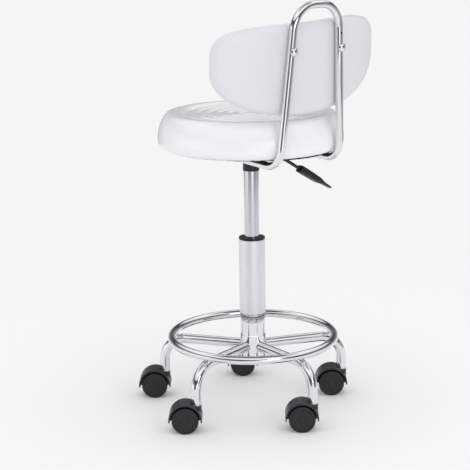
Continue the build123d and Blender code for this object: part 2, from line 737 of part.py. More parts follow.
def outline_point(side, angle, inset):
    """Point of the backrest's outline at an angle from its widest level, on side 1 or -1."""
    across = (BACK_HALF_WIDTH - inset) * cos(radians(angle)) ** (2 / BACK_TOP_SQUARENESS)
    up = (BACK_TOP - inset - BACK_WIDEST) * sin(radians(max(angle, 0))) ** (2 / BACK_TOP_SQUARENESS)
    if angle < 0:
        across = (BACK_HALF_WIDTH - inset) * cos(radians(angle)) ** (2 / BACK_BOTTOM_SQUARENESS)
        up = (BACK_BOTTOM + inset - BACK_WIDEST) * sin(radians(-angle)) ** (2 / BACK_BOTTOM_SQUARENESS)
    return tilted(side * across, up)


def tilted(across, up):
    """Place on the backrest's plane of a point measured from its middle, with the backrest a little out of level."""
    turn = radians(BACK_TILT)
    return (across * cos(turn) + up * sin(turn), BACK_WIDEST + up * cos(turn) - across * sin(turn))


def backrest_outline(inset):
    """Closed outline of the backrest seen from behind, drawn in a little by inset."""
    turn = radians(BACK_TILT)
    level = (cos(turn), -sin(turn))
    back_to = (-cos(turn), sin(turn))
    bottom = tilted(0, BACK_BOTTOM + inset - BACK_WIDEST)
    top = tilted(0, BACK_TOP - inset - BACK_WIDEST)
    with BuildLine() as outline:
        right = [outline_point(1, angle, inset) for angle in OUTLINE_ANGLES]
        Spline(bottom, *right, top, tangents=(level, back_to))
        left = [outline_point(-1, angle, inset) for angle in reversed(OUTLINE_ANGLES)]
        Spline(top, *left, bottom, tangents=(back_to, level))
    return outline.line


def backrest_layer(name, inset, near, far, cutters):
    """A curved layer of the backrest between two depths inside its rear surface, with round cuts."""
    outline = backrest_outline(inset)
    with BuildPart() as layer:
        with BuildSketch(BACK_PLANE):
            make_face(outline.edges())
        extrude(amount=BACK_CURVE / 2, both=True)
        with BuildSketch(ACROSS_PLANE):
            with Locations((0, CURVE_CENTRE)):
                Circle(BACK_CURVE - near)
                Circle(BACK_CURVE - far, mode=Mode.SUBTRACT)
            with Locations((0, CURVE_CENTRE - BACK_CURVE / 2)):
                Rectangle(2 * BACK_CURVE, BACK_CURVE, mode=Mode.SUBTRACT)
        extrude(amount=2 * BACK_TOP, mode=Mode.INTERSECT)
        for radius, start, end in cutters:
            with BuildSketch(BACK_PLANE.offset(start)):
                with Locations((-BOLT_X, BOLT_HEIGHT), (BOLT_X, BOLT_HEIGHT)):
                    Circle(radius)
            extrude(amount=end - start, mode=Mode.SUBTRACT)
    return layer.part


NUT_TOP = FRAME_TUBE_RADIUS + PANEL_THICKNESS + BACK_BOARD_THICKNESS + 1.5


def make_back_panel():
    part = backrest_layer("back_panel", PANEL_INSET, 0, PANEL_THICKNESS, [(SCREW_RADIUS + 0.2, 0, 60)])
    keep(part, "back_panel")


def make_backrest_board():
    far = PANEL_THICKNESS + BACK_BOARD_THICKNESS
    part = backrest_layer(
        "backrest_board",
        BACK_BOARD_INSET,
        PANEL_THICKNESS,
        far,
        [(NUT_BARREL_RADIUS, 0, 60), (NUT_FLANGE_RADIUS, NUT_TOP - 1.9, 60)],
    )
    keep(part, "backrest_board")


def make_backrest_cushion():
    far = PANEL_THICKNESS + BACK_BOARD_THICKNESS
    pocket = backrest_layer("pocket", BACK_BOARD_INSET, 0, far, [])
    part = backrest_layer(
        "backrest_cushion", 0, PANEL_THICKNESS, BACK_THICKNESS, [(NUT_FLANGE_RADIUS, 0, NUT_TOP + 1.5)]
    )
    with BuildPart() as backrest_cushion:
        add(part)
        add(pocket, mode=Mode.SUBTRACT)
    keep(backrest_cushion.part, "backrest_cushion")


def make_backrest_tee_nuts():
    barrel = 8
    with BuildPart() as backrest_tee_nuts:
        with BuildSketch(BACK_PLANE.offset(NUT_TOP)):
            with Locations((-BOLT_X, BOLT_HEIGHT), (BOLT_X, BOLT_HEIGHT)):
                Circle(NUT_FLANGE_RADIUS - 0.2)
        extrude(amount=-NUT_FLANGE)
        with BuildSketch(BACK_PLANE.offset(NUT_TOP)):
            with Locations((-BOLT_X, BOLT_HEIGHT), (BOLT_X, BOLT_HEIGHT)):
                Circle(NUT_BARREL_RADIUS)
        extrude(amount=-barrel)
        with BuildSketch(BACK_PLANE.offset(NUT_TOP)):
            with Locations((-BOLT_X, BOLT_HEIGHT), (BOLT_X, BOLT_HEIGHT)):
                Circle(SCREW_RADIUS + RUNNING)
        extrude(amount=-barrel, mode=Mode.SUBTRACT)
    keep(backrest_tee_nuts.part, "backrest_tee_nuts")


def make_backrest_bolts():
    rear = -FRAME_TUBE_RADIUS - 0.1
    with BuildPart() as backrest_bolts:
        for x in (-BOLT_X, BOLT_X):
            side = Plane(origin=leaning(x, BOLT_HEIGHT), x_dir=(1, 0, 0), z_dir=LEAN_UP)
            with BuildSketch(side):
                with BuildLine():
                    Line((0, -rear), (8.2, -rear))
                    Line((8.2, -rear), (8.2, 1.2 - rear))
                    Line((8.2, 1.2 - rear), (7.4, 1.2 - rear))
                    dome(7.4, 1.2 - rear, 5.8 - rear)
                    Line((0, 5.8 - rear), (0, -rear))
                make_face()
            revolve(axis=Axis(leaning(x, BOLT_HEIGHT), LEAN_BACK))
        with BuildSketch(BACK_PLANE.offset(rear)):
            with Locations((-BOLT_X, BOLT_HEIGHT), (BOLT_X, BOLT_HEIGHT)):
                Circle(SCREW_RADIUS)
        extrude(amount=NUT_TOP - rear)
    keep(backrest_bolts.part, "backrest_bolts")


# ---------------------------------------------------------------- casters


def caster_plane(index):
    """The middle plane of a caster: x runs from the stem towards the axle, y runs up."""
    return upright_plane(TRAIL_ANGLE, *stem_place(index))


def make_caster_stem(index):
    x, y = stem_place(index)
    with BuildPart() as stem:
        with BuildSketch(Plane(origin=(x, y, STEM_FOOT_Z))):
            Circle(STEM_RADIUS)
        extrude(amount=STEM_TOP_Z - STEM_FOOT_Z)
        chamfer(stem.edges().sort_by(Axis.Z)[-1], length=1.5)
        # groove for the grip ring
        with BuildSketch(Plane(origin=(x, y, STEM_TOP_Z - 8))):
            Circle(STEM_RADIUS)
            Circle(STEM_RADIUS - 1, mode=Mode.SUBTRACT)
        extrude(amount=2, mode=Mode.SUBTRACT)
    keep(stem.part, f"caster_{index + 1}_stem")


def make_caster_hood(index):
    side = caster_plane(index)
    x, y = stem_place(index)
    with BuildPart() as hood:
        # fender, as a disc over both wheels, and the stem boss
        with BuildSketch(side):
            with Locations((TRAIL, WHEEL_RADIUS)):
                Circle(HOOD_RADIUS)
        extrude(amount=HOOD_HALF_WIDTH, both=True)
        fillet(hood.edges().filter_by(GeomType.CIRCLE), radius=0.8)
        with BuildSketch(Plane(origin=(x, y, WHEEL_RADIUS))):
            Circle(BOSS_RADIUS)
        extrude(amount=HOOD_RADIUS + 2)
        # the wheels' room on both sides of the middle web
        for start, reach in ((WEB_HALF_WIDTH, HOOD_RADIUS), (-WEB_HALF_WIDTH, -HOOD_RADIUS)):
            with BuildSketch(side.offset(start)):
                with Locations((TRAIL, WHEEL_RADIUS)):
                    Circle(HOOD_RADIUS - HOOD_WALL)
            extrude(amount=reach, mode=Mode.SUBTRACT)
        with BuildSketch(side):
            with Locations((TRAIL, WHEEL_RADIUS - 3 - HOOD_RADIUS)):
                Rectangle(3 * HOOD_RADIUS, 2 * HOOD_RADIUS)
        extrude(amount=HOOD_RADIUS, both=True, mode=Mode.SUBTRACT)
        # axle boss
        with BuildSketch(side):
            with Locations((TRAIL, WHEEL_RADIUS)):
                Circle(8)
        extrude(amount=WEB_HALF_WIDTH, both=True)
        # flat seat under the leg, the stem's bore and the axle's bore
        with BuildSketch(Plane(origin=(x, y, BOSS_TOP_Z))):
            Circle(BOSS_RADIUS + 0.8)
        extrude(amount=HOOD_RADIUS, mode=Mode.SUBTRACT)
        with BuildSketch(Plane(origin=(x, y, STEM_FOOT_Z))):
            Circle(STEM_RADIUS)
        extrude(amount=HOOD_RADIUS, mode=Mode.SUBTRACT)
        with BuildSketch(side):
            with Locations((TRAIL, WHEEL_RADIUS)):
                Circle(AXLE_RADIUS)
        extrude(amount=HOOD_RADIUS, both=True, mode=Mode.SUBTRACT)
    keep(hood.part, f"caster_{index + 1}_hood")


def make_caster_axle(index):
    with BuildPart() as axle:
        with BuildSketch(caster_plane(index).offset(-AXLE_HALF_LENGTH)):
            with Locations((TRAIL, WHEEL_RADIUS)):
                Circle(AXLE_RADIUS)
        extrude(amount=2 * AXLE_HALF_LENGTH)
        chamfer(axle.edges().filter_by(GeomType.CIRCLE), length=0.5)
    keep(axle.part, f"caster_{index + 1}_axle")


def make_caster_wheel(index, sign, name):
    """One wheel: a round tread, a stepped disc face and a domed centre cap, closed on the outside."""
    x, y = stem_place(index)
    turn = radians(TRAIL_ANGLE)
    centre = (x + TRAIL * cos(turn), y + TRAIL * sin(turn), WHEEL_RADIUS)
    outwards = (sign * sin(turn), -sign * cos(turn), 0)
    section = Plane(origin=centre, x_dir=(0, 0, 1), z_dir=(-outwards[1], outwards[0], 0))
    turned = -1 if section.y_dir.dot(Vector(outwards)) < 0 else 1
    bore = AXLE_RADIUS + RUNNING
    with BuildPart() as wheel:
        with BuildSketch(section):
            with BuildLine():
                FilletPolyline(
                    (bore, turned * WHEEL_INNER),
                    (WHEEL_RADIUS, turned * WHEEL_INNER),
                    (WHEEL_RADIUS, turned * WHEEL_OUTER),
                    (WHEEL_RADIUS - 4.5, turned * WHEEL_OUTER),
                    (WHEEL_RADIUS - 5.5, turned * (WHEEL_OUTER - 1.2)),
                    (7.5, turned * (WHEEL_OUTER - 1.2)),
                    (6.5, turned * (WHEEL_OUTER - 0.2)),
                    (0, turned * (WHEEL_OUTER - 0.2)),
                    radius=[2, 2.5, 0.8, 0.5, 0.5, 0.5],
                )
                Polyline(
                    (0, turned * (WHEEL_OUTER - 0.2)),
                    (0, turned * (AXLE_HALF_LENGTH + 0.5)),
                    (bore, turned * (AXLE_HALF_LENGTH + 0.5)),
                    (bore, turned * WHEEL_INNER),
                )
            make_face()
        revolve(axis=Axis(centre, outwards))
    keep(wheel.part, f"caster_{index + 1}_{name}")


make_hub()
for number in range(LEG_COUNT):
    make_leg(number)
make_foot_ring()
make_caster_sockets()
make_column_tube()
make_guide_bush()
make_thrust_bearing()
make_thrust_race()
make_bump_stop()
make_retaining_clip()
make_piston_rod()
make_piston()
make_gas_cylinder()
make_valve_pin()
make_mechanism_plate()
make_lever_pin()
make_lever_rod()
make_lever_handle()
make_seat_board()
make_seat_cushion()
make_dust_cover()
make_seat_tee_nuts()
make_hex_screws("seat_screws", PLATE_HOLES, UNDER_PLATE_Z)
make_hex_screws("frame_screws", FOOT_HOLES, PLATE_TOP_Z - FOOT_FLAT)
make_back_frame()
make_back_panel()
make_backrest_board()
make_backrest_cushion()
make_backrest_tee_nuts()
make_backrest_bolts()
for number in range(LEG_COUNT):
    make_caster_stem(number)
    make_caster_hood(number)
    make_caster_axle(number)
    make_caster_wheel(number, 1, "front_wheel")
    make_caster_wheel(number, -1, "rear_wheel")
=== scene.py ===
import json
import math

import bmesh
import bpy
from mathutils import Matrix, Vector, noise


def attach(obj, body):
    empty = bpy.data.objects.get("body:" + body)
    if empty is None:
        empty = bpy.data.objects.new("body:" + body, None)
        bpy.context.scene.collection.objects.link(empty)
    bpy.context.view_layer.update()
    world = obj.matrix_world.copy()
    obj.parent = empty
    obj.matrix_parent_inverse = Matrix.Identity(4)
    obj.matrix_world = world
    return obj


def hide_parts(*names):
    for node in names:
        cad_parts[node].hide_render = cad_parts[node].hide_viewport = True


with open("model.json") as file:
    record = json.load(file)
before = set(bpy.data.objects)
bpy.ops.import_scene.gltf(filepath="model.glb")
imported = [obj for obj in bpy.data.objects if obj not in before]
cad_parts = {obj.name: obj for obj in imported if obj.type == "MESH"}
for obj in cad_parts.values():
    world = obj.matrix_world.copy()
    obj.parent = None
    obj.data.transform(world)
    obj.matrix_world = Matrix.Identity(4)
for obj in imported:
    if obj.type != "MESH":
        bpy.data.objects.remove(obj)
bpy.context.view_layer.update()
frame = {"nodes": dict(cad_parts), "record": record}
nodes = frame["nodes"]
scene = bpy.context.scene
MM = 0.001

# ---------------------------------------------------------------- camera

CAMERA_DISTANCE = 2.750
CAMERA_HEIGHT = 0.976
CAMERA_TURN = math.radians(38.87)
CAMERA_TILT = math.radians(11.66)
CAMERA_ROLL = math.radians(-0.654)

camera_data = bpy.data.cameras.new("camera")
camera_data.sensor_width = 36.0
camera_data.lens = 113.6
camera_data.shift_x = -0.035
camera_data.shift_y = -0.08
camera_data.clip_end = 200.0
camera = bpy.data.objects.new("camera", camera_data)
scene.collection.objects.link(camera)
camera_place = Vector(
    (CAMERA_DISTANCE * math.sin(CAMERA_TURN), CAMERA_DISTANCE * math.cos(CAMERA_TURN), CAMERA_HEIGHT)
)
camera.matrix_world = (
    Matrix.Translation(camera_place)
    @ Matrix.Rotation(math.pi - CAMERA_TURN, 4, "Z")
    @ Matrix.Rotation(math.pi / 2 - CAMERA_TILT, 4, "X")
    @ Matrix.Rotation(CAMERA_ROLL, 4, "Z")
)
scene.camera = camera
scene.view_settings.view_transform = "Standard"

# ---------------------------------------------------------------- shared shader groups


def new_group(name, inputs, outputs):
    """A node group with float, colour or vector sockets, and its input and output nodes."""
    group = bpy.data.node_groups.new(name, "ShaderNodeTree")
    kinds = {"value": "NodeSocketFloat", "colour": "NodeSocketColor", "vector": "NodeSocketVector"}
    for label, kind in inputs:
        group.interface.new_socket(label, in_out="INPUT", socket_type=kinds[kind])
    for label, kind in outputs:
        group.interface.new_socket(label, in_out="OUTPUT", socket_type=kinds[kind])
    return group, group.nodes.new("NodeGroupInput"), group.nodes.new("NodeGroupOutput")


def maths(tree, operation, first, second):
    """A Math node on two links or numbers, giving its output."""
    node = tree.nodes.new("ShaderNodeMath")
    node.operation = operation
    for socket, value in zip(node.inputs, (first, second)):
        if isinstance(value, (int, float)):
            socket.default_value = value
        else:
            tree.links.new(value, socket)
    return node.outputs[0]


def noise_at(tree, vector, scale, detail, distortion=0.0):
    """The Fac output of a noise texture; scale is a number or a link."""
    node = tree.nodes.new("ShaderNodeTexNoise")
    tree.links.new(vector, node.inputs["Vector"])
    if isinstance(scale, (int, float)):
        node.inputs["Scale"].default_value = scale
    else:
        tree.links.new(scale, node.inputs["Scale"])
    node.inputs["Detail"].default_value = detail
    node.inputs["Distortion"].default_value = distortion
    return node.outputs["Fac"]


def build_smudge_group():
    """Slow handling marks: a value between Low and High that drifts over the surface."""
    group, enter, leave = new_group(
        "handling_marks",
        [("Vector", "vector"), ("Scale", "value"), ("Low", "value"), ("High", "value")],
        [("Value", "value")],
    )
    broad = noise_at(group, enter.outputs["Vector"], enter.outputs["Scale"], 4.0, 0.4)
    fine = noise_at(group, enter.outputs["Vector"], maths(group, "MULTIPLY", enter.outputs["Scale"], 7.3), 6.0)
    mixed = maths(group, "ADD", maths(group, "MULTIPLY", broad, 0.7), maths(group, "MULTIPLY", fine, 0.3))
    spread = group.nodes.new("ShaderNodeMapRange")
    group.links.new(mixed, spread.inputs["Value"])
    spread.inputs["From Min"].default_value = 0.35
    spread.inputs["From Max"].default_value = 0.65
    group.links.new(enter.outputs["Low"], spread.inputs["To Min"])
    group.links.new(enter.outputs["High"], spread.inputs["To Max"])
    group.links.new(spread.outputs["Result"], leave.inputs["Value"])
    return group


def build_drift_group():
    """Colour drift: the base colour, made lighter and darker by a small share over the surface."""
    group, enter, leave = new_group(
        "colour_drift",
        [("Vector", "vector"), ("Scale", "value"), ("Colour", "colour"), ("Darker", "colour")],
        [("Colour", "colour")],
    )
    cloud = noise_at(group, enter.outputs["Vector"], enter.outputs["Scale"], 5.0, 0.2)
    mix = group.nodes.new("ShaderNodeMix")
    mix.data_type = "RGBA"
    group.links.new(cloud, mix.inputs["Factor"])
    group.links.new(enter.outputs["Colour"], mix.inputs["A"])
    group.links.new(enter.outputs["Darker"], mix.inputs["B"])
    group.links.new(mix.outputs["Result"], leave.inputs["Colour"])
    return group


def build_hide_group():
    """Embossed grain of coated cloth: rounded pebbles with fine creases between them."""
    group, enter, leave = new_group("hide_grain", [("Vector", "vector"), ("Scale", "value")], [("Height", "value")])
    pebble = group.nodes.new("ShaderNodeTexVoronoi")
    pebble.feature = "SMOOTH_F1"
    pebble.inputs["Smoothness"].default_value = 0.6
    group.links.new(enter.outputs["Vector"], pebble.inputs["Vector"])
    group.links.new(enter.outputs["Scale"], pebble.inputs["Scale"])
    crease_scale = maths(group, "MULTIPLY", enter.outputs["Scale"], 0.35)
    crease = noise_at(group, enter.outputs["Vector"], crease_scale, 5.0, 0.6)
    height = maths(group, "ADD", maths(group, "MULTIPLY", pebble.outputs["Distance"], -0.6), crease)
    group.links.new(height, leave.inputs["Height"])
    return group


def build_moulded_group():
    """Spark-eroded texture of moulded plastic and the peel of powder coat."""
    group, enter, leave = new_group(
        "moulded_texture", [("Vector", "vector"), ("Scale", "value")], [("Height", "value")]
    )
    coarse = noise_at(group, enter.outputs["Vector"], enter.outputs["Scale"], 3.0)
    fine = noise_at(group, enter.outputs["Vector"], maths(group, "MULTIPLY", enter.outputs["Scale"], 3.1), 2.0)
    height = maths(group, "ADD", coarse, maths(group, "MULTIPLY", fine, 0.4))
    group.links.new(height, leave.inputs["Height"])
    return group


SMUDGE = build_smudge_group()
DRIFT = build_drift_group()
HIDE = build_hide_group()
MOULDED = build_moulded_group()

# ---------------------------------------------------------------- materials


class Finish:
    """One material: a Principled shader fed by the shared groups on Object coordinates."""

    def __init__(self, name, colour, metallic=0.0, specular=0.5, coat=0.0, coat_roughness=0.1):
        self.material = bpy.data.materials.new(name)
        self.material.use_nodes = True
        self.tree = self.material.node_tree
        self.shader = self.tree.nodes["Principled BSDF"]
        self.shader.inputs["Base Color"].default_value = (*colour, 1.0)
        self.shader.inputs["Metallic"].default_value = metallic
        self.shader.inputs["Specular IOR Level"].default_value = specular
        self.shader.inputs["Coat Weight"].default_value = coat
        self.shader.inputs["Coat Roughness"].default_value = coat_roughness
        self.place = self.tree.nodes.new("ShaderNodeTexCoord").outputs["Object"]

    def group(self, group, **values):
        """One shared group in this material, read on Object coordinates."""
        node = self.tree.nodes.new("ShaderNodeGroup")
        node.node_tree = group
        self.tree.links.new(self.place, node.inputs["Vector"])
        for label, value in values.items():
            node.inputs[label].default_value = value
        return node

    def roughness(self, low, high, scale):
        """Roughness that wanders between low and high."""
        marks = self.group(SMUDGE, Scale=scale, Low=low, High=high)
        self.tree.links.new(marks.outputs["Value"], self.shader.inputs["Roughness"])
        return self

    def drift(self, colour, darker, scale):
        """Base colour that wanders towards a darker one."""
        cloud = self.group(DRIFT, Scale=scale, Colour=(*colour, 1.0), Darker=(*darker, 1.0))
        self.tree.links.new(cloud.outputs["Colour"], self.shader.inputs["Base Color"])
        return self

    def bump(self, height, strength, depth):
        """Bump from a height output; depth in metres."""
        node = self.tree.nodes.new("ShaderNodeBump")
        node.inputs["Strength"].default_value = strength
        node.inputs["Distance"].default_value = depth
        self.tree.links.new(height, node.inputs["Height"])
        self.tree.links.new(node.outputs["Normal"], self.shader.inputs["Normal"])
        return self

    def stretched(self, scale):
        """Object coordinates squeezed along each axis by a Mapping node."""
        node = self.tree.nodes.new("ShaderNodeMapping")
        node.inputs["Scale"].default_value = scale
        self.tree.links.new(self.place, node.inputs["Vector"])
        return node.outputs["Vector"]


def chrome_finish():
    """Polished plate on the bent tubes and the hub."""
    finish = Finish("chrome_plate", (0.80, 0.80, 0.82), metallic=1.0)
    finish.roughness(0.045, 0.085, 24.0).drift((0.82, 0.82, 0.835), (0.77, 0.775, 0.80), 18.0)
    return finish.material


def ground_chrome_finish():
    """Hard chrome on the sliding cylinder, ground and not polished."""
    finish = Finish("ground_chrome", (0.66, 0.67, 0.73), metallic=1.0)
    finish.roughness(0.15, 0.22, 40.0).drift((0.68, 0.69, 0.75), (0.60, 0.61, 0.68), 16.0)
    rings = noise_at(finish.tree, finish.stretched((120.0, 120.0, 3200.0)), 1.0, 2.0)
    finish.bump(rings, 0.05, 0.0001)
    return finish.material


def satin_finish():
    """Satin silver paint on the outer column."""
    finish = Finish("satin_silver", (0.76, 0.76, 0.79), metallic=0.72)
    finish.roughness(0.36, 0.42, 30.0).drift((0.80, 0.80, 0.83), (0.77, 0.775, 0.80), 14.0)
    peel = finish.group(MOULDED, Scale=900.0)
    finish.bump(peel.outputs["Height"], 0.02, 0.0002)
    return finish.material


def zinc_finish():
    """Bright zinc on bearings, stems, nuts and pins."""
    finish = Finish("bright_zinc", (0.60, 0.60, 0.62), metallic=1.0)
    finish.roughness(0.22, 0.36, 90.0).drift((0.63, 0.63, 0.65), (0.55, 0.555, 0.56), 60.0)
    lines = noise_at(finish.tree, finish.stretched((200.0, 200.0, 2600.0)), 1.0, 3.0)
    finish.bump(lines, 0.12, 0.0002)
    return finish.material


def powder_finish():
    """Black powder coat on the mechanism, its lever and the screws."""
    finish = Finish("black_powder_coat", (0.016, 0.016, 0.017), specular=0.45)
    finish.roughness(0.38, 0.50, 40.0).drift((0.018, 0.018, 0.019), (0.011, 0.011, 0.012), 30.0)
    peel = finish.group(MOULDED, Scale=620.0)
    finish.bump(peel.outputs["Height"], 0.25, 0.0004)
    return finish.material


def plastic_finish(name, colour, darker, low, high, grain, strength):
    finish = Finish(name, colour, specular=0.45)
    finish.roughness(low, high, 45.0).drift(colour, darker, 35.0)
    texture = finish.group(MOULDED, Scale=grain)
    finish.bump(texture.outputs["Height"], strength, 0.0003)
    return finish.material


def vinyl_finish(name, colour, darker, low, high, coat):
    finish = Finish(name, colour, specular=0.5, coat=coat, coat_roughness=0.16)
    finish.roughness(low, high, 22.0).drift(colour, darker, 9.0)
    grain = finish.group(HIDE, Scale=1150.0)
    finish.bump(grain.outputs["Height"], 0.05, 0.0002)
    return finish.material


def rubber_finish():
    finish = Finish("black_rubber", (0.02, 0.02, 0.02), specular=0.35)
    finish.roughness(0.62, 0.78, 60.0).drift((0.022, 0.022, 0.022), (0.015, 0.015, 0.015), 40.0)
    texture = finish.group(MOULDED, Scale=1400.0)
    finish.bump(texture.outputs["Height"], 0.2, 0.0003)
    return finish.material


def plywood_finish():
    """Birch face with long grain, and plies that show as bands on the edge."""
    finish = Finish("birch_plywood", (0.62, 0.47, 0.30), specular=0.35)
    finish.roughness(0.5, 0.66, 50.0)
    tree = finish.tree
    fibre = noise_at(tree, finish.stretched((14.0, 260.0, 260.0)), 1.0, 6.0, 0.5)
    plies = tree.nodes.new("ShaderNodeTexWave")
    plies.bands_direction = "Z"
    plies.inputs["Scale"].default_value = 104.0
    plies.inputs["Distortion"].default_value = 0.6
    tree.links.new(finish.place, plies.inputs["Vector"])
    bands = maths(tree, "MULTIPLY", plies.outputs["Fac"], 0.3)
    grain = maths(tree, "ADD", maths(tree, "MULTIPLY", fibre, 0.7), bands)
    ramp = tree.nodes.new("ShaderNodeValToRGB")
    ramp.color_ramp.elements[0].position = 0.3
    ramp.color_ramp.elements[0].color = (0.42, 0.29, 0.16, 1.0)
    ramp.color_ramp.elements[1].position = 0.75
    ramp.color_ramp.elements[1].color = (0.68, 0.53, 0.35, 1.0)
    tree.links.new(grain, ramp.inputs["Fac"])
    tree.links.new(ramp.outputs["Color"], finish.shader.inputs["Base Color"])
    finish.bump(fibre, 0.25, 0.0003)
    return finish.material


def underlining_finish():
    """Thin non-woven cloth with a point-bonded pattern."""
    finish = Finish("non_woven_cloth", (0.018, 0.018, 0.018), specular=0.25)
    finish.roughness(0.8, 0.95, 40.0).drift((0.022, 0.022, 0.022), (0.012, 0.012, 0.012), 50.0)
    points = finish.tree.nodes.new("ShaderNodeTexVoronoi")
    points.inputs["Scale"].default_value = 620.0
    points.inputs["Randomness"].default_value = 0.15
    finish.tree.links.new(finish.place, points.inputs["Vector"])
    finish.bump(points.outputs["Distance"], 0.5, 0.0004)
    return finish.material


finishes = {
    "chrome_steel": chrome_finish(),
    "satin_column": satin_finish(),
    "zinc_steel": zinc_finish(),
    "black_steel": powder_finish(),
    "black_plastic": plastic_finish(
        "black_nylon", (0.012, 0.012, 0.013), (0.008, 0.008, 0.009), 0.34, 0.46, 700.0, 0.2
    ),
    "hood_plastic": plastic_finish(
        "hood_nylon", (0.022, 0.022, 0.025), (0.016, 0.016, 0.018), 0.30, 0.42, 700.0, 0.12
    ),
    "wheel_plastic": plastic_finish(
        "wheel_nylon", (0.013, 0.013, 0.015), (0.009, 0.009, 0.011), 0.40, 0.54, 800.0, 0.12
    ),
    "black_rubber": rubber_finish(),
    "plywood": plywood_finish(),
    "black_fabric": underlining_finish(),
    "white_vinyl": vinyl_finish("white_vinyl", (0.85, 0.845, 0.86), (0.83, 0.825, 0.845), 0.17, 0.24, 0.35),
    "grey_vinyl": vinyl_finish("pale_grey_vinyl", (0.69, 0.70, 0.73), (0.675, 0.685, 0.715), 0.34, 0.44, 0.1),
}
for row in frame["record"]["subparts"]:
    for slot in nodes[row["node"]].material_slots:
        slot.material = finishes[row["material_slot"]]
ground_chrome = ground_chrome_finish()
for slot in nodes["gas_cylinder"].material_slots:
    slot.material = ground_chrome

# ---------------------------------------------------------------- piece helpers


def finish_piece(name, bm, slot, body, stands_for=(), levels=0, smooth=True):
    """Closes a bmesh into an object with its material, its body and what it stands for."""
    bmesh.ops.remove_doubles(bm, verts=bm.verts, dist=1e-6)
    bmesh.ops.recalc_face_normals(bm, faces=bm.faces)
    for face in bm.faces:
        face.smooth = smooth
    mesh = bpy.data.meshes.new(name)
    bm.to_mesh(mesh)
    bm.free()
    mesh.materials.append(finishes[slot])
    piece = bpy.data.objects.new(name, mesh)
    scene.collection.objects.link(piece)
    if levels:
        subdivision = piece.modifiers.new("subdivision", "SUBSURF")
        subdivision.levels = levels
        subdivision.render_levels = levels
    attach(piece, body)
    if stands_for:
        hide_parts(*stands_for)
    return piece


def turned(profile, steps):
    """A bmesh spun about the column's axis from (radius, height) points in millimetres."""
    bm = bmesh.new()
    verts = [bm.verts.new((radius * MM, 0.0, height * MM)) for radius, height in profile]
    edges = [bm.edges.new(pair) for pair in zip(verts, verts[1:])]
    bmesh.ops.spin(
        bm,
        geom=verts + edges,
        cent=(0.0, 0.0, 0.0),
        axis=(0.0, 0.0, 1.0),
        angle=math.tau,
        steps=steps,
        use_merge=True,
        use_duplicate=False,
    )
    bmesh.ops.remove_doubles(bm, verts=bm.verts, dist=1e-6)
    return bm


# ---------------------------------------------------------------- seat

SEAT_GROOVES = (125.0, 104.0, 83.0, 62.0, 41.0, 20.0)
SEAT_STEPS = 168


def roll_points(outer, inner, foot, crest):
    """Section of one sewn roll between two grooves, from the outer one inwards."""
    width = outer - inner
    shape = ((0.1, 0.42), (0.24, 0.78), (0.5, 1.0), (0.76, 0.78), (0.9, 0.42))
    return [(outer - width * across, foot + (crest - foot) * rise) for across, rise in shape]


def seat_profile():
    """Section of the round seat cover, from the middle underneath round to the middle on top."""
    points = [(0.0, 520.3), (80.0, 520.3), (157.6, 520.3), (158.3, 519.6), (158.3, 509.2), (158.9, 508.4)]
    points += [(162.0, 508.0), (166.6, 509.4), (170.6, 512.6), (173.4, 517.4), (174.6, 524.0), (174.5, 531.0)]
    points += [(173.6, 539.0), (171.8, 547.0), (169.0, 554.6), (165.4, 561.6), (162.2, 566.6), (160.6, 569.0)]
    points += [(159.6, 569.4), (158.9, 570.6), (156.4, 572.6), (152.0, 574.0), (146.0, 574.7), (139.0, 574.4)]
    points += [(132.6, 572.4), (128.4, 569.0), (126.0, 565.4)]
    for outer, inner in zip(SEAT_GROOVES, SEAT_GROOVES[1:]):
        points.append((outer, 562.6))
        points += roll_points(outer, inner, 564.4, 571.6)
    points += [(20.0, 562.6), (18.2, 566.0), (15.0, 569.4), (8.0, 571.4), (0.0, 571.8)]
    return points


def pucker_seat(bm):
    """Small tucks that the thread pulls into the cover beside its seams."""
    for vert in bm.verts:
        radius = math.hypot(vert.co.x, vert.co.y) / MM
        if radius < 12.0 or vert.co.z < 0.53:
            continue
        angle = math.atan2(vert.co.y, vert.co.x)
        seam = min(abs(radius - groove) for groove in SEAT_GROOVES + (159.6,))
        near = math.exp(-((seam / 5.0) ** 2))
        around = Vector((math.cos(angle) * radius * 0.09, math.sin(angle) * radius * 0.09, radius * 0.02))
        slow = noise.noise(around * 0.35 + Vector((3.1, 0.0, 0.0)))
        fast = noise.noise(around * 1.6)
        vert.co.z += (0.35 * slow + 0.55 * near * fast) * MM


def make_seat_cover():
    """Padded round seat with sewn rolls on top, turned under to the board."""
    bm = turned(seat_profile(), SEAT_STEPS)
    pucker_seat(bm)
    piece = finish_piece("seat_cover", bm, "white_vinyl", "seat", ["seat_cushion"], levels=1)
    return piece


def stitch_row(bm, places, length, thickness):
    """Short sunk stitches, each a small six-sided bar; places are (point, direction, normal)."""
    for point, direction, normal in places:
        side = direction.cross(normal)
        made = bmesh.ops.create_cone(
            bm, cap_ends=True, segments=6, radius1=thickness / 2, radius2=thickness / 2, depth=length
        )
        turn = Matrix((side, normal, direction)).transposed().to_4x4()
        bmesh.ops.transform(bm, matrix=Matrix.Translation(point) @ turn, verts=made["verts"])


def ring_stitches(bm, radius, height, count):
    """Stitches laid end to end round the column's axis, leaning outwards with the seam."""
    places = []
    for index in range(count):
        angle = math.tau * index / count
        outward = Vector((math.cos(angle), math.sin(angle), 0.0))
        along = Vector((-math.sin(angle), math.cos(angle), 0.0))
        normal = (outward * 0.6 + Vector((0.0, 0.0, 1.0))).normalized()
        places.append((outward * radius * MM + Vector((0.0, 0.0, height * MM)), along, normal))
    stitch_row(bm, places, 2.9 * MM, 0.7 * MM)


